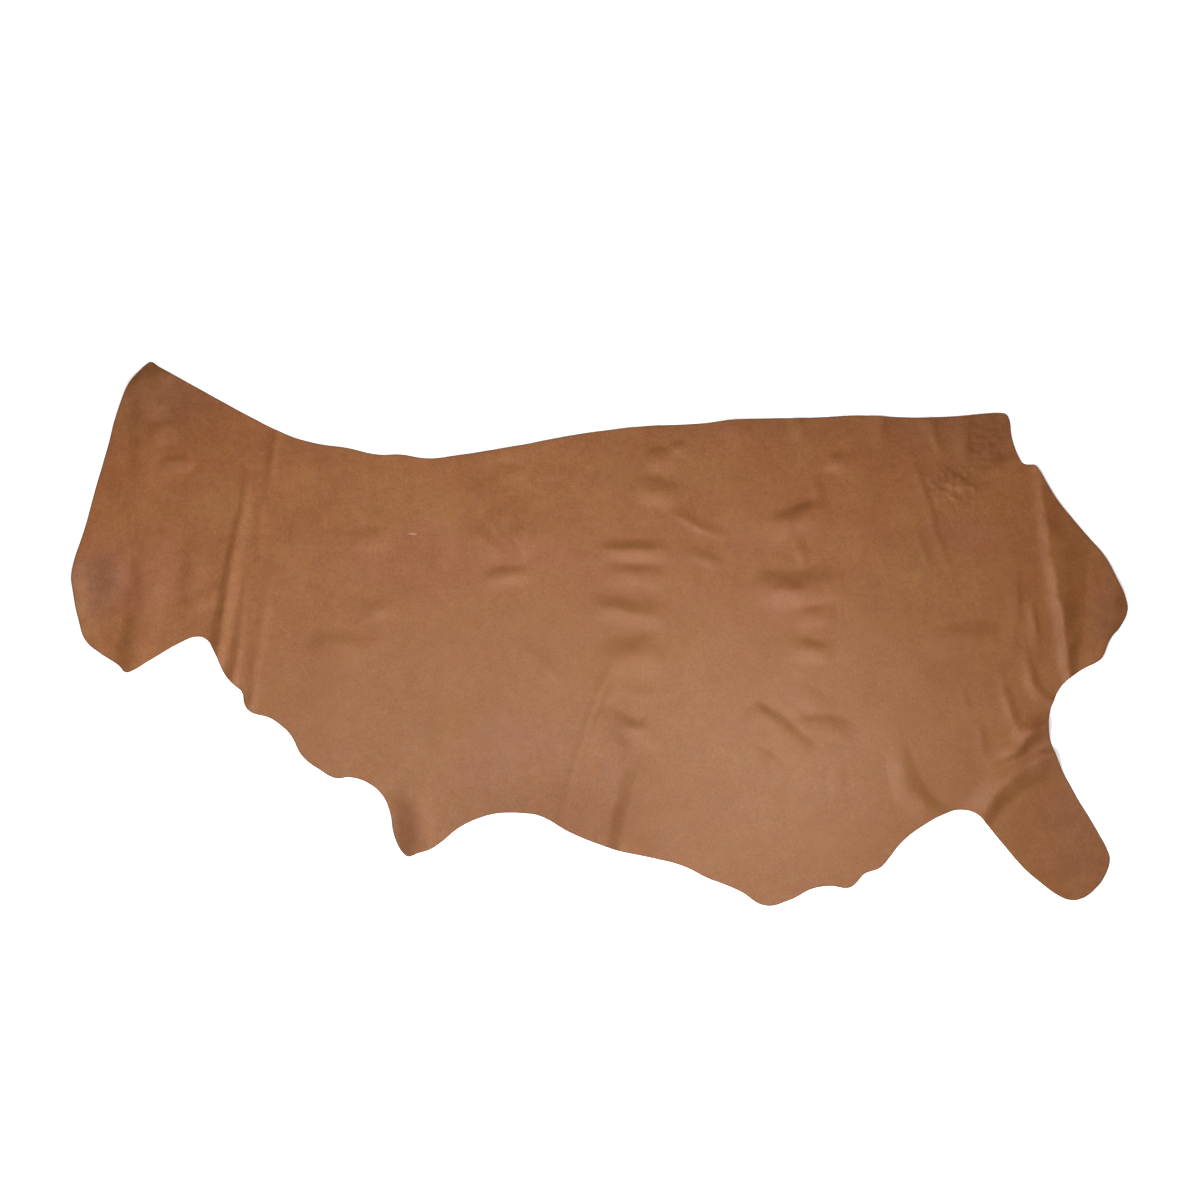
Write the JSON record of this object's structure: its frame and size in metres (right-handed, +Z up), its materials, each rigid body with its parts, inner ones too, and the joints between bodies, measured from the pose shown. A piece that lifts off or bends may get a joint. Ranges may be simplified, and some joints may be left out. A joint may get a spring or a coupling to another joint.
{
  "type": "side of lining leather",
  "caption": "Thin smooth brown lining leather, a whole side laid flat with its grain up, straight along the backbone and natural along the neck, shanks and belly, lightly creased.",
  "frame": {"origin": "middle of the bounding box's underside, on the surface that the leather lies on", "axes": "+X from the neck to the butt, +Y towards the backbone edge, +Z up, out of the grain side"},
  "size_m": [2.112, 1.0878, 0.0166],
  "materials": {
    "lining_leather": "smooth full grain, low satin sheen, tan brown"
  },
  "bodies": {
    "root": {"leather_side": "lining_leather"}
  },
  "joints": []
}
